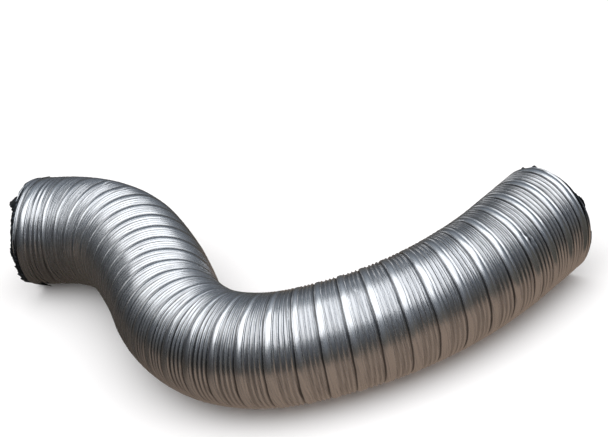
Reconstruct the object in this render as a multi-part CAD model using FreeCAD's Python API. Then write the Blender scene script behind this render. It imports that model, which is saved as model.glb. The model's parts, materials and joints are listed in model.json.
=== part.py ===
"""Flexible air duct: one corrugated strip wound into a tube, lying on a floor in a long double bend.

Each turn of the strip is a stiff lock-seam hoop and a soft ribbed web beside it. The two ends are cut.
The floor is z = 0, and the origin is at the middle of the duct's box, on the floor.
"""
import FreeCAD
import Part
import math
import os

# Sizes of the tube, in millimetres
bore_diameter = 101.6
wall = 0.6
rib_height = 1.0
hoop_stand = 0.6
pitch = 22.0
hoop_width = 6.4

# Narrow ribs between two hoops
ribs_per_web = 4

# The hoops rest on the floor with a small flat
floor_flat = 0.5

# The lay of the duct, in degrees: where its left end points, and how far each web bends in each run of webs
left_heading = -28.0
webs_per_run = [5, 5, 4, 5, 10]
bend_angles = [-9.5, -2.1, 6.2, 10.4, 4.8]

# Hoops that the cut ends hold
left_end_hoops = 2
right_end_hoops = 3

bore_radius = bore_diameter / 2
groove_radius = bore_radius + wall
crest_radius = groove_radius + rib_height
hoop_radius = crest_radius + hoop_stand
web_length = pitch - hoop_width
axis_height = hoop_radius - floor_flat
web_bends = [angle for webs, angle in zip(webs_per_run, bend_angles) for _ in range(webs)]


class Station:
    """A point on the duct's centreline, and the way that the duct runs there."""

    def __init__(self, x, y, heading):
        self.x = x
        self.y = y
        self.heading = heading

    def ahead(self, length, bend=0.0):
        """The station that lies a length further on, along an arc that turns by bend degrees."""
        half_turn = math.radians(bend / 2)
        chord = length
        if bend:
            chord = length * math.sin(half_turn) / half_turn
        way = math.radians(self.heading) + half_turn
        return Station(self.x + chord * math.cos(way), self.y + chord * math.sin(way), self.heading + bend)

    def placement(self):
        """The frame with its Z axis along the duct and its X axis straight up."""
        way = math.radians(self.heading)
        along = FreeCAD.Vector(math.cos(way), math.sin(way), 0)
        up = FreeCAD.Vector(0, 0, 1)
        across = along.cross(up)
        turn = FreeCAD.Rotation(up, across, along, "ZXY")
        return FreeCAD.Placement(FreeCAD.Vector(self.x, self.y, axis_height), turn)

    def ring(self, radius):
        """A circle round the centreline, square to it, that starts at the top."""
        wire = Part.Wire(Part.Circle(FreeCAD.Vector(), FreeCAD.Vector(0, 0, 1), radius).toShape())
        wire.Placement = self.placement()
        return wire


def rib_profile(length, ribs):
    """The outline of a run of ribs, as pairs of a distance along the duct and a radius."""
    rib_length = length / ribs
    points = [(0.0, groove_radius)]
    for rib in range(ribs):
        points.append(((rib + 0.5) * rib_length, crest_radius))
        points.append(((rib + 1) * rib_length, groove_radius))
    return points


def hoop_profile():
    """The outline of the smooth band that covers the lock seam."""
    return [(0.0, hoop_radius), (hoop_width, hoop_radius)]


def end_profile(hoops, ribs_first):
    """The outline of a cut end: its hoops with whole webs between them, and half a web out to the cut."""
    half_web = rib_profile(web_length / 2, math.ceil(ribs_per_web / 2))
    pieces = [hoop_profile()]
    for _ in range(hoops - 1):
        pieces.append(rib_profile(web_length, ribs_per_web))
        pieces.append(hoop_profile())
    if ribs_first:
        pieces.insert(0, half_web)
    else:
        pieces.append(half_web)
    points = []
    start = 0.0
    for piece in pieces:
        points += [(start + along, radius) for along, radius in piece]
        start += piece[-1][0]
    return points


def turned_tube(station, profile):
    """A straight tube that is turned from an outline and bored through, cut flat where it meets the floor."""
    length = profile[-1][0]
    outline = [(bore_radius, 0.0)] + [(radius, along) for along, radius in profile] + [(bore_radius, length)]
    corners = [FreeCAD.Vector(radius, 0, along) for radius, along in outline + outline[:1]]
    section = Part.Face(Part.makePolygon(corners))
    tube = section.revolve(FreeCAD.Vector(), FreeCAD.Vector(0, 0, 1), 360)
    tube.Placement = station.placement()
    reach = 2 * (length + hoop_radius)
    corner = FreeCAD.Vector(station.x - reach, station.y - reach, -hoop_radius)
    floor = Part.makeBox(2 * reach, 2 * reach, hoop_radius, corner)
    return tube.cut(floor)


def ribbed_web(station, bend):
    """A bent web: a ruled loft through the circles of its ribs, which fan out round the bend, and a bore."""
    profile = rib_profile(web_length, ribs_per_web)
    rings = []
    for along, radius in profile:
        share = along / web_length
        rings.append(station.ahead(along, bend * share).ring(radius))
    outside = Part.makeLoft(rings, True, True)
    far_side = station.ahead(web_length, bend)
    inside = Part.makeLoft([station.ring(bore_radius), far_side.ring(bore_radius)], True, True)
    return outside.cut(inside)


def lay_out(start):
    """Every piece's name with the station where it begins, from the left cut to the right one."""
    places = [("left_cut_end", start)]
    station = start.ahead(end_profile(left_end_hoops, True)[-1][0])
    for number, bend in enumerate(web_bends, 1):
        places.append((f"ribbed_web_{number:02d}", station))
        station = station.ahead(web_length, bend)
        if number < len(web_bends):
            places.append((f"seam_hoop_{number:02d}", station))
            station = station.ahead(hoop_width)
    places.append(("right_cut_end", station))
    places.append(("right_cut", station.ahead(end_profile(right_end_hoops, False)[-1][0])))
    return places


def box_middle(places):
    """The middle of the box round the duct, in plan, taken at the edges of its hoops and its two cuts."""
    sides_x = []
    sides_y = []
    for _, station in places:
        way = math.radians(station.heading)
        for side in (-hoop_radius, hoop_radius):
            sides_x.append(station.x + side * math.sin(way))
            sides_y.append(station.y + side * math.cos(way))
    return (min(sides_x) + max(sides_x)) / 2, (min(sides_y) + max(sides_y)) / 2


def build_pieces():
    """All the duct's pieces by name."""
    middle_x, middle_y = box_middle(lay_out(Station(0.0, 0.0, left_heading)))
    places = lay_out(Station(-middle_x, -middle_y, left_heading))
    pieces = {}
    bends_left = iter(web_bends)
    for name, station in places[:-1]:
        if name == "left_cut_end":
            pieces[name] = turned_tube(station, end_profile(left_end_hoops, True))
        elif name == "right_cut_end":
            pieces[name] = turned_tube(station, end_profile(right_end_hoops, False))
        elif name.startswith("seam_hoop"):
            pieces[name] = turned_tube(station, hoop_profile())
        else:
            pieces[name] = ribbed_web(station, next(bends_left))
    return pieces


os.makedirs("parts", exist_ok=True)
for name, shape in build_pieces().items():
    shape.exportStep(f"parts/{name}.step")
    print(f"{name}: {shape.Volume / 1000:.2f} cm3, {len(shape.Faces)} faces, valid {shape.isValid()}")
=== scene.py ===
"""Looks of a flexible aluminium air duct that lies on a floor in a long double bend.

The duct is one ribbed strip, wound to the left into a tube. It is modelled straight, along the X
axis from the left cut on, and each turn is then laid along the duct's own line by a Curve modifier.
Angles round it are in degrees from its right side up.
"""

import json
import logging
import math
from dataclasses import dataclass, field
from enum import Enum

import bpy
import numpy as np
from mathutils import Matrix, Vector


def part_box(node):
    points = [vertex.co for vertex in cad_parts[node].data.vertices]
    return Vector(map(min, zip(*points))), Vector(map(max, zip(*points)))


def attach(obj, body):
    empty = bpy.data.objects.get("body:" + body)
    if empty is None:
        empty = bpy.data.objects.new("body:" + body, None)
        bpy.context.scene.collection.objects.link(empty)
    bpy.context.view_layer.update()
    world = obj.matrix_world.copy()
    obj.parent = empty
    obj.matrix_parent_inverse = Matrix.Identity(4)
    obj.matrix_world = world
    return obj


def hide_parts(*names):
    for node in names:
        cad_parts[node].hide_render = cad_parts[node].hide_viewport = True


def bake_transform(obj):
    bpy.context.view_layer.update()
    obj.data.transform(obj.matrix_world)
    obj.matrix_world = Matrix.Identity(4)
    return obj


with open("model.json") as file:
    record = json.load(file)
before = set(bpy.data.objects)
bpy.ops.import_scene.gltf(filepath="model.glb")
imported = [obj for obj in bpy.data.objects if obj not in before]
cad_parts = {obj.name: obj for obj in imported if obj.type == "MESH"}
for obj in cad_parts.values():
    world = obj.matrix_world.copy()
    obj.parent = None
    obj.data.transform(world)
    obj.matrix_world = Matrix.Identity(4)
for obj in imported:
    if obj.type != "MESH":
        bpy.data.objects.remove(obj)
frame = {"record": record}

log = logging.getLogger("duct")
MM = 0.001
PHOTO_WIDTH = 608

# How near to a rim or a border a point counts as there, and when a sum of normals has no direction
AT_RIM = 0.002 * MM
AT_BORDER = 0.0002 * MM
NO_WAY = 1e-14

# Sockets of the Mix node's colours, which share their names with those of its numbers
MIX_FIRST, MIX_SECOND, MIX_RESULT = 6, 7, 2

Spot = tuple[float, float]
Point = tuple[float, float, float]
Stops = tuple[tuple[float, Point], ...]
Piece = bpy.types.Object
Tree = bpy.types.NodeTree
Node = bpy.types.Node
Socket = bpy.types.NodeSocket
Inputs = dict[str | int, object]
Material = bpy.types.Material


class End(Enum):
    """The duct's cut ends."""

    LEFT = "left"
    RIGHT = "right"

    @property
    def way(self) -> int:
        """Which way the end points along the straight tube."""
        return -1 if self is End.LEFT else 1


class Axis(Enum):
    """The axes that a piece is pushed along."""

    X = "X"
    Y = "Y"
    Z = "Z"


def deselect() -> None:
    """Leaves nothing selected, so that an operator acts on its own piece alone."""
    bpy.ops.object.select_all(action="DESELECT")


def pick(piece: Piece) -> None:
    """Selects one piece alone and makes it active.

    Args:
        piece: The piece.
    """
    deselect()
    piece.select_set(True)
    bpy.context.view_layer.objects.active = piece


@dataclass(frozen=True)
class EditMode:
    """Edit mode on one piece alone, for the length of a with block."""

    piece: Piece

    def __enter__(self) -> None:
        """Picks the piece and starts editing it."""
        pick(self.piece)
        bpy.ops.object.mode_set(mode="EDIT")

    def __exit__(self, *error: object) -> None:
        """Goes back to object mode."""
        bpy.ops.object.mode_set(mode="OBJECT")


def linked(thing: Piece) -> Piece:
    """Puts an object into the scene and gives it back."""
    bpy.context.scene.collection.objects.link(thing)
    return thing


def copy_piece(piece: Piece, name: str) -> Piece:
    """A copy of a piece with its own mesh.

    Args:
        piece: The piece to copy.
        name: The copy's name.

    Returns:
        The copy, in the scene.
    """
    made = piece.copy()
    made.data = piece.data.copy()
    made.name = made.data.name = name
    return linked(made)


def apply_modifier(piece: Piece, kind: str, **settings: object) -> None:
    """Puts one modifier on a piece and applies it.

    Args:
        piece: The mesh that takes the modifier.
        kind: The modifier's type, such as SCREW.
        settings: The modifier's own values.
    """
    pick(piece)
    modifier = piece.modifiers.new(kind.title(), kind)
    for name, value in settings.items():
        setattr(modifier, name, value)
    bpy.ops.object.modifier_apply(modifier=modifier.name)


def values(
    rows: bpy.types.bpy_prop_collection, name: str, kind: type = np.float32, width: int = 1
) -> np.ndarray:
    """One value of every row of a mesh's data.

    Args:
        rows: The rows, such as a mesh's vertices.
        name: The value's name.
        kind: The type of its numbers.
        width: How many numbers it has.

    Returns:
        The numbers, in rows where there are several.
    """
    flat = np.empty(len(rows) * width, kind)
    rows.foreach_get(name, flat)
    return flat.reshape(-1, width) if width > 1 else flat


def coordinates(mesh: bpy.types.Mesh) -> np.ndarray:
    """A mesh's vertices as rows of x, y, z."""
    return values(mesh.vertices, "co", width=3).astype(float)


def choose(piece: Piece, chosen: np.ndarray) -> None:
    """Selects vertices, and the edges that lie wholly among them, from object mode.

    Args:
        piece: The piece.
        chosen: A mask of its vertices.
    """
    mesh = piece.data
    mesh.vertices.foreach_set("select", chosen)
    edges = values(mesh.edges, "vertices", np.int32, 2)
    mesh.edges.foreach_set("select", chosen[edges].all(axis=1))
    mesh.polygons.foreach_set("select", np.zeros(len(mesh.polygons), bool))


def move(piece: Piece, chosen: np.ndarray, step: Vector) -> None:
    """Moves some of a piece's vertices.

    Args:
        piece: The piece.
        chosen: A mask of its vertices.
        step: How far they go.
    """
    if chosen.any():
        choose(piece, chosen)
        with EditMode(piece):
            bpy.ops.transform.translate(value=step)


def outward(angle: float) -> Vector:
    """The way out of the straight tube at an angle round it."""
    turn = math.radians(angle)
    return Vector((0, -math.cos(turn), math.sin(turn)))


@dataclass(frozen=True)
class Strip:
    """The strip's section over one turn: a wide crowned band, four ribs and the seam's groove.

    Distances run along the duct from a point on the band. The first rib rises straight from the
    band's edge, and a thin crease shows where the strip's edges are folded into each other. Places
    on the band and on a rib are shares of its half width, on the band with a drop below its curve.
    """

    turn: float = 22.0 * MM
    sides: int = 96
    foil: float = 0.25 * MM
    band_radius: float = 53.0 * MM
    band_middle: float = -0.8 * MM
    band_half: float = 2.7 * MM
    crown: float = 0.6 * MM
    falling: tuple[Spot, ...] = ((0.52, 0), (0.72, 0), (0.88, 0), (1.02, 0.3 * MM))
    rising: tuple[Spot, ...] = (
        (-1.02, 0.3 * MM), (-0.94, 0), (-0.76, 0), (-0.62, 0.18 * MM), (-0.5, 0), (-0.3, 0),
        (-0.1, 0), (0.1, 0),
    )
    ribs: tuple[float, ...] = (3.15 * MM, 7.6 * MM, 11.5 * MM, 15.3 * MM)
    rib_radius: float = 52.95 * MM
    rib_half: float = 1.75 * MM
    rib_places: tuple[float, ...] = (-1.0, -0.72, -0.45, -0.2, 0.0, 0.2, 0.45, 0.72, 1.0)
    first_rib_from: float = -0.3
    valley_radius: float = 51.35 * MM
    groove: tuple[float, float] = (17.35 * MM, 18.0 * MM)
    groove_radius: float = 50.95 * MM
    weld: float = 0.01 * MM
    cut_width: float = 0.00001 * MM

    def band(self, share: float, drop: float = 0.0) -> Spot:
        """A point of the crowned band, as a distance along the duct and a radius."""
        radius = self.band_radius - self.crown * share**2 - drop
        return self.band_middle + share * self.band_half, radius

    def outline(self) -> list[Spot]:
        """One turn's section, from a point on the band to just before its like on the next turn.

        Returns:
            Pairs of a distance along the duct and a radius.
        """
        points = [self.band(-self.band_middle / self.band_half)]
        points += [self.band(*spot) for spot in self.falling]
        for number, crest in enumerate(self.ribs):
            for share in self.rib_places:
                if number > 0 or share >= self.first_rib_from:
                    lift = math.cos(share * math.pi / 2) ** 2
                    height = lift * (self.rib_radius - self.valley_radius)
                    points.append((crest + share * self.rib_half, self.valley_radius + height))
        points += [(place, self.groove_radius) for place in self.groove]
        for spot in self.rising:
            along, radius = self.band(*spot)
            points.append((self.turn + along, radius))
        return [(round(along / self.grid) * self.grid, radius) for along, radius in points]

    @property
    def grid(self) -> float:
        """Half of what the strip gains along the duct from one side of the winding to the next."""
        return self.turn / self.sides / 2

    def between(self, place: float) -> float:
        """The nearest place along the tube that has no point of the winding near it."""
        return (math.floor(place / self.grid) + 0.5) * self.grid

    def wind(self, name: str, first: int, turns: int) -> Piece:
        """The strip wound to the left round the X axis.

        Args:
            name: The new piece's name.
            first: The turn that it starts with.
            turns: How many turns it has.

        Returns:
            The wound strip, a single skin whose turns aren't joined yet.
        """
        deselect()
        bpy.ops.mesh.primitive_plane_add(size=MM, location=(0, 0, 0))
        tube = bpy.context.object
        tube.name = name
        section = self.outline()
        section.append((self.turn, section[0][1]))
        spots = [Vector((first * self.turn + along, 0, -radius)) for along, radius in section]
        with EditMode(tube):
            bpy.ops.mesh.select_all(action="SELECT")
            bpy.ops.mesh.merge(type="CENTER")
            bpy.ops.transform.translate(value=spots[0])
            for here, there in zip(spots, spots[1:]):
                step = there - here
                bpy.ops.mesh.extrude_region_move(TRANSFORM_OT_translate={"value": step})
        apply_modifier(
            tube, "SCREW", axis="X", angle=-math.tau, screw_offset=self.turn, iterations=turns,
            steps=self.sides, render_steps=self.sides, use_smooth_shade=True,
            use_stretch_u=True, use_stretch_v=True,
        )
        return tube

    def close(self, tube: Piece) -> None:
        """Joins a wound strip's turns into a tube of foil, two skins with no rim yet.

        Args:
            tube: The wound strip.
        """
        with EditMode(tube):
            bpy.ops.mesh.select_all(action="SELECT")
            bpy.ops.mesh.remove_doubles(threshold=self.weld)
            bpy.ops.mesh.normals_make_consistent(inside=False)
        face = tube.data.polygons[len(tube.data.polygons) // 2]
        if face.normal.dot(Vector((0, face.center.y, face.center.z))) < 0:
            with EditMode(tube):
                bpy.ops.mesh.flip_normals()
        tube.vertex_groups.new(name="inner")
        apply_modifier(
            tube, "SOLIDIFY", thickness=self.foil, offset=-1.0, use_rim=False,
            shell_vertex_group="inner",
        )

    def trim(self, tube: Piece, start: float, end: float) -> None:
        """Cuts a wound tube square at two places and closes the foil's edge there.

        Args:
            tube: The wound tube.
            start: Where it starts along the X axis.
            end: Where it ends.
        """
        with EditMode(tube):
            for place, keep_far in ((start, True), (end, False)):
                bpy.ops.mesh.select_all(action="SELECT")
                bpy.ops.mesh.bisect(
                    plane_co=(place, 0, 0), plane_no=(1, 0, 0), clear_inner=keep_far,
                    clear_outer=not keep_far, threshold=self.cut_width,
                )
        for place in (start, end):
            near = np.abs(coordinates(tube.data)[:, 0] - place) < 3 * self.cut_width
            choose(tube, near)
            with EditMode(tube):
                bpy.ops.mesh.select_mode(type="EDGE")
                bpy.ops.mesh.bridge_edge_loops()
                bpy.ops.mesh.select_mode(type="VERT")


@dataclass(frozen=True)
class Station:
    """A point of the duct's line in plan, and the heading there in radians."""

    x: float
    y: float
    heading: float

    def ahead(self, length: float, bend: float = 0.0) -> "Station":
        """The station further on along an arc.

        Args:
            length: The arc's length.
            bend: How far the arc turns, in radians.

        Returns:
            The station at its end.
        """
        half = bend / 2
        chord = length * math.sin(half) / half if half else length
        way = self.heading + half
        x, y = self.x + chord * math.cos(way), self.y + chord * math.sin(way)
        return Station(x, y, self.heading + bend)


@dataclass
class Lay:
    """The line that the duct lies on: straight in the hoops and the ends, arcs in the webs."""

    turn: float = 22.0 * MM
    web: float = 15.6 * MM
    axis_height: float = 52.5 * MM
    hoops: int = 28
    left_run: float = 33.0 * MM
    right_run: float = 55.0 * MM
    step: float = 1.1 * MM
    stations: list[Station] = field(default_factory=list)

    def read(self) -> None:
        """Finds each hoop's middle in the frame, and the headings from the chords between them."""
        mounts = {mount["name"]: mount for mount in frame["record"]["mounts"]}
        left, right = mounts["left_end_bore"], mounts["right_end_bore"]
        self.axis_height = left["pos_m"][2]
        places = []
        for number in range(1, self.hoops + 1):
            low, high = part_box(f"seam_hoop_{number:02d}")
            places.append(((low.x + high.x) / 2, (low.y + high.y) / 2))
        for mount, position in ((left, 0), (right, self.hoops + 1)):
            (x, y, _), (way_x, way_y, _) = mount["pos_m"], mount["axis"]
            inner = mount["dims"]["length_mm"] * MM / 2 - (self.turn - self.web) / 2
            places.insert(position, (x - way_x * inner, y - way_y * inner))
        heading = math.atan2(-left["axis"][1], -left["axis"][0])
        self.stations = [Station(*places[0], heading)]
        for place in places[1:]:
            before = self.stations[-1]
            chord = math.atan2(place[1] - before.y, place[0] - before.x)
            self.stations.append(Station(*place, 2 * chord - before.heading))

    def points(self) -> list[Point]:
        """Points of the line, a step apart.

        Returns:
            The points from the left cut to the right one.
        """
        first, last = self.stations[0], self.stations[-1]
        runs = [(first.ahead(-self.left_run), self.left_run, 0.0)]
        for here, there in zip(self.stations, self.stations[1:]):
            runs.append((here, self.turn, there.heading - here.heading))
        runs.append((last, self.right_run, 0.0))
        spots = []
        for start, length, bend in runs:
            parts = round(length / self.step)
            spots += [
                start.ahead(length * part / parts, bend * part / parts) for part in range(parts)
            ]
        spots.append(last.ahead(self.right_run))
        return [(spot.x, spot.y, self.axis_height) for spot in spots]

    def draw(self) -> Piece:
        """The line as a curve that the straight pieces are bent along.

        Returns:
            The curve.
        """
        spots = self.points()
        data = bpy.data.curves.new("duct_line", "CURVE")
        data.dimensions = "3D"
        data.twist_mode = "Z_UP"
        spline = data.splines.new("POLY")
        spline.points.add(len(spots) - 1)
        for point, spot in zip(spline.points, spots):
            point.co = (*spot, 1.0)
        return linked(bpy.data.objects.new("duct_line", data))

    def along(self, number: int) -> float:
        """How far from the left cut a hoop's middle lies, 0 being the left end's inner hoop."""
        return self.left_run + number * self.turn

    def borders(self) -> list[float]:
        """How far from the left cut each border between two pieces lies."""
        return [self.along(number) for number in range(self.hoops + 2)]


@dataclass
class Handling:
    """Small unevenness from handling: a push along each axis, by its place in the noise."""

    pushes: tuple[tuple[Axis, Point, float], ...] = (
        (Axis.X, (0.31, 1.7, 0.4), 1.0 * MM), (Axis.Y, (2.2, 0.15, 1.1), 0.6 * MM),
        (Axis.Z, (4.5, 0.8, 2.9), 0.6 * MM),
    )
    grain: float = 30.0 * MM
    detail: int = 2
    helpers: dict[Axis, Piece] = field(default_factory=dict)
    noise: bpy.types.Texture | None = None

    def prepare(self) -> None:
        """Makes the noise and the helper empties that place it."""
        self.noise = bpy.data.textures.new("handling", "CLOUDS")
        self.noise.noise_scale = 1.0
        self.noise.noise_depth = self.detail
        for axis, seed, _ in self.pushes:
            helper = linked(bpy.data.objects.new(f"handling_{axis.value}", None))
            helper.scale = (self.grain,) * 3
            helper.location = tuple(-part for part in seed)
            self.helpers[axis] = helper
        bpy.context.view_layer.update()

    def press(self, piece: Piece) -> None:
        """Moves a straight piece's points a little along each axis.

        Args:
            piece: The piece.
        """
        for axis, _, strength in self.pushes:
            apply_modifier(
                piece, "DISPLACE", texture=self.noise, texture_coords="OBJECT", mid_level=0.5,
                texture_coords_object=self.helpers[axis], direction=axis.value, strength=strength,
            )


def note(piece: Piece, rims: tuple[float, ...] = ()) -> None:
    """Keeps what the finishes need to know: each point's place on the straight tube and its radius
    there, and which faces are the foil's own edge, square across the tube.

    Args:
        piece: The straight piece.
        rims: Where the foil's edge lies along the tube.
    """
    mesh = piece.data
    spots = coordinates(mesh)
    straight = mesh.attributes.new("straight", "FLOAT_VECTOR", "POINT")
    straight.data.foreach_set("vector", spots.astype(np.float32).ravel())
    radius = mesh.attributes.new("radius", "FLOAT", "POINT")
    radius.data.foreach_set("value", np.hypot(spots[:, 1], spots[:, 2]).astype(np.float32))
    loops = values(mesh.loops, "vertex_index", np.int32)
    starts = values(mesh.polygons, "loop_start", np.int32)
    edge = np.zeros(len(mesh.polygons), bool)
    for place in rims:
        near = (np.abs(spots[:, 0] - place) < AT_RIM)[loops]
        edge |= np.logical_and.reduceat(near, starts)
    mesh.attributes.new("rim", "BOOLEAN", "FACE").data.foreach_set("value", edge)


@dataclass
class Bender:
    """Lays straight pieces along the duct's line and sets them down on the floor."""

    line: Piece
    strip: Strip
    skin_share: float = 0.6
    inner_height: float = 0.2 * MM

    def bend(self, piece: Piece) -> None:
        """Bends a straight piece along the line and flattens what would pass through the floor.

        Args:
            piece: The piece.
        """
        apply_modifier(piece, "CURVE", object=self.line, deform_axis="POS_X")
        height = coordinates(piece.data)[:, 2]
        radius = values(piece.data.attributes["radius"].data, "value")
        inner = radius < self.strip.band_radius - self.skin_share * self.strip.foil
        for skin, level in ((~inner, 0.0), (inner, self.inner_height)):
            low = skin & (height < level)
            if low.any():
                choose(piece, low)
                with EditMode(piece):
                    bpy.ops.transform.resize(value=(1, 1, 0), center_override=(0, 0, level))


def area_normals(piece: Piece) -> tuple[np.ndarray, np.ndarray, np.ndarray, np.ndarray]:
    """Sums of the face normals round each point, without the foil's edge faces.

    Args:
        piece: The piece.

    Returns:
        The sums, each loop's point, each loop's face and the marks of the edge faces.
    """
    mesh = piece.data
    loops = values(mesh.loops, "vertex_index", np.int32)
    totals = values(mesh.polygons, "loop_total", np.int32)
    faces = np.repeat(np.arange(len(totals)), totals)
    normals = values(mesh.polygons, "normal", width=3).astype(float)
    weighted = normals * values(mesh.polygons, "area")[:, None]
    rim = values(mesh.attributes["rim"].data, "value", bool)
    weighted[rim] = 0
    sums = np.zeros((len(mesh.vertices), 3))
    np.add.at(sums, loops, weighted[faces])
    return sums, loops, faces, rim


def border(piece: Piece, place: float) -> np.ndarray:
    """The points of a piece at one of its borders.

    Args:
        piece: The piece.
        place: Where the border lies along the straight tube.

    Returns:
        The points' numbers, in order round the tube, the outer skin's before the inner one's.
    """
    mesh = piece.data
    spots = values(mesh.attributes["straight"].data, "vector", width=3).astype(float)
    there = np.flatnonzero(np.abs(spots[:, 0] - place) < AT_BORDER)
    spots = spots[there]
    group = piece.vertex_groups["inner"].index
    inner = [
        any(entry.group == group and entry.weight > 0.5 for entry in mesh.vertices[index].groups)
        for index in there
    ]
    return there[np.lexsort((np.arctan2(spots[:, 2], spots[:, 1]), inner))]


def join_shading(pieces: list[Piece], places: list[float]) -> None:
    """Smooths the shading over the borders between neighbours, and keeps the foil's edges flat.

    Args:
        pieces: The pieces in order along the duct.
        places: The places of the borders between them, along the straight tube.
    """
    sums = [area_normals(piece) for piece in pieces]
    for number, place in enumerate(places):
        before = border(pieces[number], place)
        after = border(pieces[number + 1], place)
        total = sums[number][0][before] + sums[number + 1][0][after]
        sums[number][0][before] = sums[number + 1][0][after] = total
    for piece, (total, loops, faces, rim) in zip(pieces, sums):
        corner = total[loops]
        own = values(piece.data.polygons, "normal", width=3)
        flat = rim[faces] | (np.linalg.norm(corner, axis=1) < NO_WAY)
        corner[flat] = own[faces][flat]
        corner /= np.linalg.norm(corner, axis=1)[:, None]
        piece.data.normals_split_custom_set(corner.tolist())


@dataclass
class Drift:
    """How far the winding runs ahead or behind, because some turns are pulled wider."""

    swing: float = 5.5 * MM
    middle: float = 205.0 * MM
    span: float = 370.0 * MM
    fade: float = 400.0 * MM
    fade_power: int = 4
    jitter: float = 0.5 * MM
    seed: int = 7

    def at(self, places: list[float]) -> list[float]:
        """The drift at places along the duct.

        Args:
            places: How far they lie from the left cut.

        Returns:
            The drift at each place.
        """
        chance = np.random.default_rng(self.seed)
        made = []
        for place in places:
            wave = math.sin(math.tau * (place - self.middle) / self.span)
            share = math.exp(-(((place - self.middle) / self.fade) ** self.fade_power))
            made.append(self.swing * wave * share + self.jitter * float(chance.uniform(-1, 1)))
        return made


@dataclass
class Winding:
    """The wound strip that every piece is cut from, how it drifts, and where it is pulled flat.

    Where the duct is pressed together the ribs are full waves; where it is pulled out they are
    narrow, with flat floors between them. The pulls are the shares of the pulled form at places
    along the duct.
    """

    pressed: Strip
    pulled: Strip
    lay: Lay
    drift: Drift
    first_turn: int = -4
    turns: int = 8
    places: tuple[float, ...] = (55 * MM, 121 * MM, 341 * MM, 429 * MM, 605 * MM, 693 * MM)
    pulls: tuple[float, ...] = (1.0, 0.0, 0.0, 1.0, 1.0, 0.1)
    steps: int = 200
    unmixed: float = 0.001
    patterns: dict[str, Piece] = field(default_factory=dict)
    shifts: list[float] = field(default_factory=list)

    def prepare(self) -> None:
        """Winds a few turns of both kinds to cut pieces from."""
        self.shifts = self.drift.at(self.lay.borders())
        for name, strip in (("pressed", self.pressed), ("pulled", self.pulled)):
            self.patterns[name] = strip.wind(name, self.first_turn, self.turns)
            closed = f"{name}_closed"
            self.patterns[closed] = copy_piece(self.patterns[name], closed)
            strip.close(self.patterns[closed])

    def mix(self, piece: Piece, along: np.ndarray) -> None:
        """Changes pressed turns to pulled ones along the duct, and joins them into a tube.

        Args:
            piece: A copy of the pressed turns.
            along: How far from the left cut each of its points will lie.
        """
        pick(piece)
        self.patterns["pulled"].select_set(True)
        bpy.ops.object.join_shapes()
        self.patterns["pulled"].select_set(False)
        levels = np.round(np.interp(along, self.places, self.pulls) * self.steps).astype(int)
        group = piece.vertex_groups.new(name="pulled")
        for level in np.unique(levels[levels > 0]):
            share = float(level) / self.steps
            group.add(np.flatnonzero(levels == level).tolist(), share, "REPLACE")
        keys = piece.data.shape_keys.key_blocks
        keys[-1].value = 1.0
        keys[-1].vertex_group = group.name
        piece.active_shape_key_index = len(keys) - 1
        bpy.ops.object.shape_key_remove(all=True, apply_mix=True)
        piece.vertex_groups.remove(group)
        self.pressed.close(piece)

    def cut(self, name: str, start: float, end: float, place: float, length: float) -> Piece:
        """A piece of the winding, stretched or pressed to a length and put at its place.

        Args:
            name: The piece's name.
            start: Where it starts in the winding.
            end: Where it ends in the winding.
            place: How far from the left cut it starts.
            length: Its length along the duct.

        Returns:
            The straight piece.
        """
        start, end = self.pressed.between(start), self.pressed.between(end)
        pull = np.interp((place, place + length), self.places, self.pulls)
        if pull.max() < self.unmixed:
            piece = copy_piece(self.patterns["pressed_closed"], name)
        elif pull.min() > 1 - self.unmixed:
            piece = copy_piece(self.patterns["pulled_closed"], name)
        else:
            piece = copy_piece(self.patterns["pressed"], name)
            along = place + (coordinates(piece.data)[:, 0] - start) * length / (end - start)
            self.mix(piece, along)
        self.pressed.trim(piece, start, end)
        stretch = length / (end - start)
        with EditMode(piece):
            bpy.ops.mesh.select_all(action="SELECT")
            bpy.ops.transform.resize(value=(stretch, 1, 1), center_override=(start, 0, 0))
            bpy.ops.transform.translate(value=(place - start, 0, 0))
        note(piece, (place, place + length))
        return piece


@dataclass(frozen=True)
class Dent:
    """A small dent, or a bulge where its depth is below 0: its place, its angle and its spread."""

    along: float
    angle: float
    spread: float
    depth: float
    radius: float = 52.5 * MM
    rings: tuple[float, ...] = (1.0, 0.7, 0.4)

    def press(self, piece: Piece) -> None:
        """Pushes the foil in at the dent, in narrowing rings.

        Args:
            piece: The straight piece.
        """
        out = outward(self.angle)
        middle = np.array((self.along, *(out * self.radius)[1:]))
        away = np.linalg.norm(coordinates(piece.data) - middle, axis=1)
        for share in self.rings:
            move(piece, away < share * self.spread, -out * self.depth / len(self.rings))


# Two rows of crimps, three marks, two bulges, two scratches and three knocks near the right end
DENTS = (
    *(Dent(511 * MM, angle, 1.6 * MM, 0.7 * MM) for angle in (66, 71, 76, 81, 86)),
    *(Dent(533 * MM, angle, 1.6 * MM, 0.7 * MM) for angle in (68, 74, 80, 86)),
    *(Dent(place * MM, 83, 2.2 * MM, 0.9 * MM) for place in (189.5, 211, 234)),
    Dent(88 * MM, 116, 10 * MM, -1.3 * MM),
    Dent(110 * MM, 120, 10 * MM, -0.9 * MM),
    Dent(566 * MM, 82, 2.5 * MM, 0.6 * MM),
    Dent(584 * MM, 32, 1.8 * MM, 0.8 * MM),
    Dent(661.5 * MM, 42, 2.4 * MM, 1.3 * MM),
    Dent(665.5 * MM, 37, 2.2 * MM, 1.3 * MM),
    Dent(663 * MM, 31, 2.8 * MM, 1.4 * MM),
)


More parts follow.
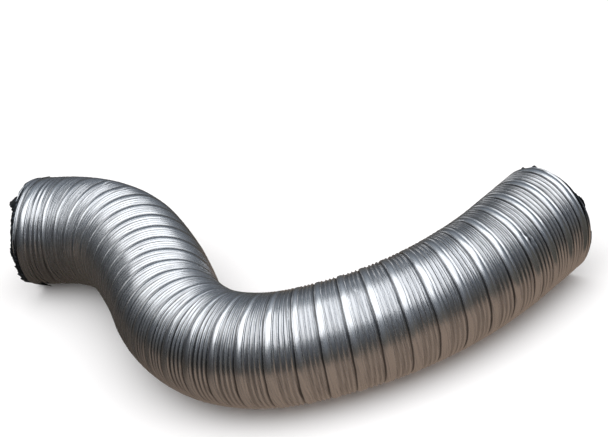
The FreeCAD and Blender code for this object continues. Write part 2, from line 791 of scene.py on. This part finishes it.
@dataclass
class WoundTurns:
    """The turns between the cut ends: one slice of wound strip for each web.

    A slice bends along the line from its left hoop to its right one, and the slices named in
    from_right are laid the same way.
    """

    winding: Winding
    lay: Lay
    bender: Bender
    handling: Handling
    dents: tuple[Dent, ...] = DENTS
    from_right: tuple[int, ...] = (20, 24)
    slices: list[Piece] = field(default_factory=list)

    def build(self) -> None:
        """Cuts each slice from the winding and lays it in its place."""
        turn, shifts = self.lay.turn, self.winding.shifts
        for number in range(1, self.lay.hoops + 2):
            start = self.lay.along(number - 1)
            piece = self.winding.cut(
                f"wound_turn_{number:02d}", -shifts[number - 1], turn - shifts[number], start, turn
            )
            for dent in self.dents:
                if start + dent.spread < dent.along < start + turn - dent.spread:
                    dent.press(piece)
            self.handling.press(piece)
            if number in self.from_right:
                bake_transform(piece)
            else:
                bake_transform(piece)
            self.bender.bend(piece)
            nodes = [f"ribbed_web_{number:02d}"]
            if number <= self.lay.hoops:
                nodes.append(f"seam_hoop_{number:02d}")
            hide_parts(*nodes)
            self.slices.append(piece)


@dataclass(frozen=True)
class Flap:
    """A scrap of torn foil at a cut: its angle, its spread, its reach and its lift off the tube."""

    angle: float
    spread: float
    reach: float
    lift: float = 0.0


@dataclass(frozen=True)
class Cut:
    """How one end was cut: the wound length past its inner hoop, how that is drawn out, its lip.

    The pull draws the whole cut out. The slant adds to it on the side at the angle and takes from
    it on the opposite side. Torn is the width of the torn lip.
    """

    wound: float
    pull: float
    slant: float
    angle: float
    torn: float
    flaps: tuple[Flap, ...]


CUTS = {
    End.LEFT: Cut(
        wound=23.3 * MM, pull=6.4 * MM, slant=2.0 * MM, angle=-40, torn=1.0 * MM,
        flaps=(
            Flap(-40, 32, 3.0 * MM), Flap(-80, 25, 2.5 * MM), Flap(66, 9, 3.5 * MM),
            # The flap at -54 that reaches back along the tube below the left mouth is a dark sheet
            # of painted shadow
            Flap(8, 12, 1.2 * MM), Flap(-54, 10, -15.0 * MM, 3.5 * MM),
            Flap(122, 8, -12.0 * MM, 2.0 * MM),
        ),
    ),
    End.RIGHT: Cut(
        wound=59.0 * MM, pull=-3.5 * MM, slant=8.5 * MM, angle=62, torn=0.6 * MM,
        flaps=(
            Flap(30, 10, 2.4 * MM), Flap(-15, 18, 1.4 * MM), Flap(-45, 14, 1.0 * MM),
            Flap(97, 6, 1.8 * MM, 1.6 * MM), Flap(112, 4, 1.4 * MM, 1.6 * MM),
        ),
    ),
}


@dataclass(frozen=True)
class TornEdge:
    """The ragged lip of crushed foil that the rough cut left round a mouth, coloured near-black as
    painted shade.

    Each of its noises has a grain, the way that it moves the foil and its strength.
    """

    end: End
    place: float
    width: float
    flaps: tuple[Flap, ...]
    radius: float = 52.3 * MM
    seat: float = 1.6 * MM
    rows: int = 4
    sides: int = 300
    narrowing: float = 0.004
    root: float = 0.2
    rings: tuple[float, ...] = (1.0, 0.6, 0.3)
    noises: tuple[tuple[float, str, float], ...] = (
        (9 * MM, "X", 2.0 * MM), (2.5 * MM, "X", 1.6 * MM), (5 * MM, "NORMAL", 1.2 * MM),
    )
    detail: int = 3
    whole: float = 0.1
    sheet: float = 0.4 * MM

    def build(self) -> Piece:
        """Models the lip on the straight tube.

        Returns:
            The lip.
        """
        deselect()
        way = self.end.way
        bpy.ops.mesh.primitive_circle_add(
            vertices=self.sides, radius=self.radius, location=(self.place - way * self.seat, 0, 0),
            rotation=(0, math.pi / 2, 0),
        )
        lip = bpy.context.object
        lip.name = f"{self.end.value}_torn_edge_shade"
        bpy.ops.object.transform_apply(location=True, rotation=True)
        step = Vector((way * (self.seat + self.width) / self.rows, 0, 0))
        with EditMode(lip):
            bpy.ops.mesh.select_all(action="SELECT")
            for row in range(self.rows):
                bpy.ops.mesh.extrude_region_move(TRANSFORM_OT_translate={"value": step})
                narrow = 1 - self.narrowing * row
                bpy.ops.transform.resize(value=(1, narrow, narrow), center_override=(0, 0, 0))
        self.pull_flaps(lip)
        self.tear(lip)
        apply_modifier(lip, "SOLIDIFY", thickness=self.sheet, offset=0.0)
        bpy.ops.object.shade_smooth()
        return lip

    def pull_flaps(self, lip: Piece) -> None:
        """Pulls the larger scraps out of the lip.

        Args:
            lip: The lip.
        """
        way = self.end.way
        for flap in self.flaps:
            spots = coordinates(lip.data)
            free = (spots[:, 0] - self.place) * way > self.root * self.width
            turn = np.arctan2(spots[:, 2], -spots[:, 1]) - math.radians(flap.angle)
            turn = np.abs(np.arctan2(np.sin(turn), np.cos(turn)))
            step = Vector((way * flap.reach, 0, 0)) + outward(flap.angle) * flap.lift
            for share in self.rings:
                near = (turn < share * math.radians(flap.spread)) & free
                move(lip, near, step / len(self.rings))

    def tear(self, lip: Piece) -> None:
        """Makes the lip's edge ragged and crumples it.

        Args:
            lip: The lip.
        """
        group = lip.vertex_groups.new(name="edge")
        reach = (coordinates(lip.data)[:, 0] - self.place) * self.end.way / self.width
        for index in np.flatnonzero(reach > self.whole):
            group.add([int(index)], float(min(1.0, reach[index])), "REPLACE")
        noise = bpy.data.textures.new("tearing", "CLOUDS")
        noise.noise_depth = self.detail
        for grain, direction, strength in self.noises:
            noise.noise_scale = grain
            apply_modifier(
                lip, "DISPLACE", texture=noise, texture_coords="LOCAL", direction=direction,
                mid_level=0.5, strength=strength, vertex_group="edge",
            )
        bpy.data.textures.remove(noise)


@dataclass
class CutEnd:
    """A cut end of the duct: its last turns, stretched or pressed together, and the torn edge."""

    end: End
    shape: Cut
    winding: Winding
    lay: Lay
    bender: Bender
    handling: Handling
    levels: int = 8
    cage_width: float = 108 * MM
    foil: Piece | None = None
    lip: Piece | None = None

    def cage(self, start: float, stop: float) -> Piece:
        """A lattice that draws the end out, ever more towards the cut, and more on one side of it.

        Args:
            start: Where the end starts, along the straight tube.
            stop: Where it stops before it is drawn out.

        Returns:
            The lattice, with its points moved.
        """
        data = bpy.data.lattices.new("end_cage")
        data.points_u, data.points_v, data.points_w = self.levels, 2, 2
        for axis in "uvw":
            setattr(data, f"interpolation_type_{axis}", "KEY_LINEAR")
        made = linked(bpy.data.objects.new("end_cage", data))
        length = abs(stop - start)
        made.location = ((start + stop) / 2, 0, 0)
        made.scale = (length, self.cage_width, self.cage_width)
        bpy.context.view_layer.update()
        angle = math.radians(self.shape.angle)
        for point in data.points:
            share = 0.5 + self.end.way * point.co.x
            side = 2 * (point.co.z * math.sin(angle) - point.co.y * math.cos(angle))
            reach = (self.shape.pull + self.shape.slant * side) * share**2
            point.co_deform = point.co + Vector((self.end.way * reach / length, 0, 0))
        return made

    def build(self) -> None:
        """Models the end's foil and its torn edge, and lays both in place."""
        side, wound = 0 if self.end is End.LEFT else -1, self.shape.wound
        start, shift = self.lay.borders()[side], self.winding.shifts[side]
        stop, far = start + self.end.way * wound, -shift + self.end.way * wound
        name, place = f"{self.end.value}_end_turns", min(start, stop)
        piece = self.winding.cut(name, min(-shift, far), max(-shift, far), place, wound)
        lip = TornEdge(self.end, stop, self.shape.torn, self.shape.flaps).build()
        note(lip)
        cage = self.cage(start, stop)
        for made in (piece, lip):
            apply_modifier(made, "LATTICE", object=cage)
            self.handling.press(made)
            self.bender.bend(made)
            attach(made, f"{self.end.value}_end")
        bpy.data.objects.remove(cage)
        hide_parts(f"{self.end.value}_cut_end")
        self.foil, self.lip = piece, lip


def feed(node: Node, inputs: Inputs) -> None:
    """Sets a node's inputs.

    Args:
        node: The node.
        inputs: What goes into them, constants or other nodes' outputs.
    """
    for name, value in inputs.items():
        if isinstance(value, bpy.types.NodeSocket):
            node.id_data.links.new(value, node.inputs[name])
        else:
            node.inputs[name].default_value = value


def add(tree: Tree, kind: str, inputs: Inputs, output: str | int, **settings: object) -> Socket:
    """Adds a node to a shader tree.

    Args:
        tree: The tree.
        kind: The node's type after ShaderNode, such as MapRange.
        inputs: What goes into the node.
        output: The output that it is added for.
        settings: The node's other values.

    Returns:
        That output.
    """
    made = tree.nodes.new(f"ShaderNode{kind}")
    for name, value in settings.items():
        setattr(made, name, value)
    feed(made, inputs)
    return made.outputs[output]


def colours(tree: Tree, value: Socket, stops: Stops) -> Socket:
    """Turns a value into a colour by a ramp.

    Args:
        tree: The tree that holds the ramp.
        value: The value.
        stops: The ramp's places and colours, from low to high.

    Returns:
        The colour.
    """
    made = add(tree, "ValToRGB", {"Fac": value}, "Color")
    elements = made.node.color_ramp.elements
    while len(elements) < len(stops):
        elements.new(0.5)
    for element, (spot, colour) in zip(elements, stops):
        element.position = spot
        element.color = (*colour, 1.0)
    return made


def new_material(name: str) -> tuple[Material, Tree, Node]:
    """A material.

    Args:
        name: Its name.

    Returns:
        The material, its tree and its shader.
    """
    made = bpy.data.materials.new(name)
    made.use_nodes = True
    return made, made.node_tree, made.node_tree.nodes["Principled BSDF"]


@dataclass(frozen=True)
class Foil:
    """Rolled aluminium foil: satin, drawn out along the strip, with painted shade that darkens its
    folds.
    """

    colour: Point = (0.84, 0.85, 0.87)
    fold_shade_colour: Point = (0.15, 0.15, 0.155)
    fold_shade_top: float = 52.2 * MM
    fold_shade_bottom: float = 51.15 * MM
    smooth: float = 0.16
    rough: float = 0.36
    anisotropy: float = 0.5
    fineness: float = 1100.0
    length: float = 30.0
    detail: float = 3.0
    tarnish: float = 0.4
    tarnish_from: float = 0.48
    tarnish_to: float = 0.72
    bump: float = 0.2
    bump_height: float = 0.15 * MM

    def material(self) -> Material:
        """The finish as a material.

        Returns:
            The material.
        """
        made, tree, shader = new_material("rolled_foil")
        tangent = add(tree, "Tangent", {}, "Tangent", direction_type="UV_MAP", uv_map="UVMap")
        radius = add(tree, "Attribute", {}, "Fac", attribute_name="radius")
        place = add(tree, "Attribute", {}, "Vector", attribute_name="straight")
        # How deep a place lies in the strip's folds, from 0 on a crest to 1 in a groove: the mask
        # of the painted shade there
        depths = {"Value": radius, "From Min": self.fold_shade_top, "From Max": self.fold_shade_bottom}
        fold_shade = add(tree, "MapRange", depths, "Result", interpolation_type="SMOOTHSTEP")
        # Fine marks of the rolling, drawn out round the tube, as a value about 0.5
        scale = {0: place, 1: (self.fineness, self.length, self.length)}
        drawn = add(tree, "VectorMath", scale, "Vector", operation="MULTIPLY")
        noise = {"Vector": drawn, "Scale": 1.0, "Detail": self.detail}
        streak = add(tree, "TexNoise", noise, "Fac")
        tarnish = add(tree, "MapRange", {
            "Value": streak, "From Min": self.tarnish_from, "From Max": self.tarnish_to,
            "To Max": self.tarnish,
        }, "Result")
        # Painted shade: the folds and the groove darken by depth, on top of the streaks' random
        # tarnish
        tarnish_and_fold_shade = add(tree, "Math", {0: tarnish, 1: fold_shade}, "Value", operation="ADD", use_clamp=True)
        tint = add(tree, "Mix", {
            "Factor": tarnish_and_fold_shade, MIX_FIRST: (*self.colour, 1.0), MIX_SECOND: (*self.fold_shade_colour, 1.0),
        }, MIX_RESULT, data_type="RGBA")
        span = {"Value": streak, "To Min": self.smooth, "To Max": self.rough}
        relief = {"Strength": self.bump, "Distance": self.bump_height, "Height": streak}
        feed(shader, {
            "Base Color": tint, "Metallic": 1.0, "Roughness": add(tree, "MapRange", span, "Result"),
            "Anisotropic": self.anisotropy, "Anisotropic Rotation": 0.0, "Tangent": tangent,
            "Normal": add(tree, "Bump", relief, "Normal"),
        })
        return made


@dataclass(frozen=True)
class TornFoilShade:
    """The crushed foil of a rough cut, painted nearly black as the shade of its curled edge and of
    the shadow under the mouth, with lighter spots at random that still shine.
    """

    dark: Point = (0.012, 0.015, 0.018)
    worn: Point = (0.10, 0.12, 0.15)
    dark_to: float = 0.52
    lighter_from: float = 0.75
    metallic: float = 0.7
    roughness: float = 0.42
    grain: float = 350.0
    detail: float = 2.0

    def material(self) -> Material:
        """The finish as a material.

        Returns:
            The material.
        """
        made, tree, shader = new_material("torn_foil")
        place = add(tree, "Attribute", {}, "Vector", attribute_name="straight")
        spots = {"Vector": place, "Scale": self.grain, "Detail": self.detail}
        noise = add(tree, "TexNoise", spots, "Fac")
        # Painted shade: near black, lifting to lighter bluish spots where the noise is high
        colour = colours(tree, noise, ((self.dark_to, self.dark), (self.lighter_from, self.worn)))
        feed(shader, {
            "Base Color": colour, "Metallic": self.metallic, "Roughness": self.roughness,
        })
        return made


@dataclass(frozen=True)
class Camera:
    """The camera, as fitted to the photograph, with its angles in degrees."""

    elevation: float = 29.824
    roll: float = -16.781
    distance: float = 3.5215
    focal_pixels: float = 3553.3
    target: Point = (0.01876, 0.14131, 0.0)
    sensor: float = 36.0
    near: float = 0.1
    far: float = 50.0

    def build(self) -> None:
        """Puts the camera in its place and turns it to its target."""
        tilt, roll = math.radians(self.elevation), math.radians(self.roll)
        back = Vector((0, -math.cos(tilt), math.sin(tilt)))
        level_up = Vector((0, math.sin(tilt), math.cos(tilt)))
        level_right = Vector((1, 0, 0))
        right = math.cos(roll) * level_right + math.sin(roll) * level_up
        up = -math.sin(roll) * level_right + math.cos(roll) * level_up
        data = bpy.data.cameras.new("camera")
        data.sensor_width = self.sensor
        data.lens = self.focal_pixels / PHOTO_WIDTH * self.sensor
        data.clip_start, data.clip_end = self.near, self.far
        eye = linked(bpy.data.objects.new("camera", data))
        turn = Matrix((right, up, back)).transposed().to_4x4()
        eye.matrix_world = Matrix.Translation(Vector(self.target) + back * self.distance) @ turn
        bpy.context.scene.camera = eye


@dataclass(frozen=True)
class Ground:
    """The pale floor, and a glowing card that only the foil mirrors: a painted reflection of a
    brown table top, with painted shade darker to the left.
    """

    size: float = 12.0
    colour: Point = (0.9, 0.89, 0.89)
    roughness: float = 0.9
    low: tuple[float, float] = (-0.8, -0.42)
    high: tuple[float, float] = (0.28, 0.6)
    height: float = 0.3 * MM
    shade_way: Point = (1.0, -0.8, 0.0)
    shade_reach: float = 0.4
    shades: Stops = (
        (0.0, (0.05, 0.04, 0.032)), (0.28, (0.055, 0.045, 0.036)), (0.44, (0.16, 0.122, 0.096)),
        (0.7, (0.25, 0.187, 0.145)),
    )

    def matt(self, colour: Point) -> Inputs:
        """The shader's values for a plain matt finish."""
        colour = (*colour, 1.0)
        return {"Base Color": colour, "Roughness": self.roughness, "Specular IOR Level": 0.0}

    def table_material(self) -> Material:
        """Black, but with a glow of its own, from dark to brown across the table.

        Returns:
            The material.
        """
        made, tree, shader = new_material("brown_table")
        way = {0: add(tree, "TexCoord", {}, "Object"), 1: self.shade_way}
        across = add(tree, "VectorMath", way, "Value", operation="DOT_PRODUCT")
        reach = {"Value": across, "From Min": -self.shade_reach, "From Max": self.shade_reach}
        glow = colours(tree, add(tree, "MapRange", reach, "Result"), self.shades)
        feed(shader, {**self.matt((0, 0, 0)), "Emission Color": glow, "Emission Strength": 1.0})
        return made

    def build(self) -> None:
        """Lays the floor and the table top."""
        deselect()
        bpy.ops.mesh.primitive_plane_add(size=self.size, location=(0, 0, 0))
        floor = bpy.context.object
        floor.name = "floor"
        pale, _, shader = new_material("pale_floor")
        feed(shader, self.matt(self.colour))
        floor.data.materials.append(pale)
        floor.visible_glossy = False
        deselect()
        middle = [(low + high) / 2 for low, high in zip(self.low, self.high)]
        sides = [high - low for low, high in zip(self.low, self.high)]
        bpy.ops.mesh.primitive_plane_add(size=1, location=(*middle, self.height))
        table = bpy.context.object
        table.name = "mirrored_table"
        bpy.ops.transform.resize(value=(*sides, 1))
        bpy.ops.object.transform_apply(location=True, rotation=True, scale=True)
        table.data.materials.append(self.table_material())
        table.visible_camera = False
        table.visible_diffuse = False
        table.visible_shadow = False


@dataclass(frozen=True)
class Panel:
    """A soft rectangular light: its place, its width and height, how bright it looks, its aim."""

    name: str
    place: Point
    size: tuple[float, float]
    radiance: float
    aim: Point

    def build(self) -> None:
        """Hangs the light and turns it to its aim."""
        data = bpy.data.lights.new(self.name, "AREA")
        data.shape = "RECTANGLE"
        data.size, data.size_y = self.size
        data.energy = self.radiance * math.pi * self.size[0] * self.size[1]
        lamp = linked(bpy.data.objects.new(self.name, data))
        lamp.location = self.place
        way = Vector(self.aim) - Vector(self.place)
        lamp.rotation_euler = way.to_track_quat("-Z", "Y").to_euler()


@dataclass(frozen=True)
class Room:
    """The light: a wide soft box overhead, a window behind on the left, and the room around.

    The foil mirrors a dim room, paler overhead and darker on the left. All else sees it white.
    """

    panels: tuple[Panel, ...] = (
        Panel("overhead", (0.06, -0.66, 1.6), (3.0, 2.42), 1.15, (0.06, -0.66, 0)),
        Panel("window", (-1.37, 1.89, 0.9), (1.25, 1.0), 0.7, (0, 0, 0)),
    )
    shades: Stops = (
        (0.0, (0.06, 0.055, 0.045)), (0.48, (0.065, 0.062, 0.052)), (0.53, (0.065, 0.067, 0.068)),
        (0.7, (0.10, 0.118, 0.145)), (1.0, (0.35, 0.40, 0.45)),
    )
    white: Point = (0.9, 0.9, 0.9)
    left: float = -0.9
    right: float = 0.1
    left_share: float = 0.3

    def build(self) -> None:
        """Hangs the lights and colours the room."""
        for panel in self.panels:
            panel.build()
        world = bpy.data.worlds.new("room")
        world.use_nodes = True
        bpy.context.scene.world = world
        tree = world.node_tree
        place = {"Vector": add(tree, "TexCoord", {}, "Generated")}
        along, _, up = add(tree, "SeparateXYZ", place, "X").node.outputs
        height = add(tree, "MapRange", {"Value": up, "From Min": -1.0}, "Result")
        side = add(tree, "MapRange", {
            "Value": along, "From Min": self.left, "From Max": self.right,
            "To Min": self.left_share,
        }, "Result")
        dimmed = {0: colours(tree, height, self.shades), "Scale": side}
        shade = add(tree, "VectorMath", dimmed, "Vector", operation="SCALE")
        mirrored = add(tree, "LightPath", {}, "Is Glossy Ray")
        mix = {"Factor": mirrored, MIX_FIRST: (*self.white, 1.0), MIX_SECOND: shade}
        seen = add(tree, "Mix", mix, MIX_RESULT, data_type="RGBA")
        feed(tree.nodes["Background"], {"Color": seen})
        bpy.context.scene.view_settings.view_transform = "Standard"


def main() -> None:
    """Builds the duct and its stage, and reports each piece."""
    logging.basicConfig(level=logging.INFO, format="%(name)s: %(message)s")
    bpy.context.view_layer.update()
    for part in (Camera(), Ground(), Room()):
        part.build()
    lay = Lay()
    lay.read()
    pressed = Strip()
    pulled = Strip(
        rib_half=1.2 * MM, valley_radius=51.8 * MM, crown=0.5 * MM, groove_radius=51.3 * MM,
        groove=(17.5 * MM, 17.95 * MM),
    )
    bender = Bender(lay.draw(), pressed)
    handling = Handling()
    handling.prepare()
    winding = Winding(pressed, pulled, lay, Drift())
    winding.prepare()
    turns = WoundTurns(winding, lay, bender, handling)
    turns.build()
    ends = [CutEnd(end, shape, winding, lay, bender, handling) for end, shape in CUTS.items()]
    for end in ends:
        end.build()
    pieces = [ends[0].foil, *turns.slices, ends[1].foil]
    lips = [end.lip for end in ends]
    join_shading(pieces, lay.borders())
    rolled, torn = Foil().material(), TornFoilShade().material()
    for piece in (*pieces, *lips):
        piece.data.materials.append(torn if piece in lips else rolled)
        log.info("%s: %d faces", piece.name, len(piece.data.polygons))
    for helper in (*winding.patterns.values(), *handling.helpers.values(), bender.line):
        bpy.data.objects.remove(helper)


if __name__ == "__main__":
    main()
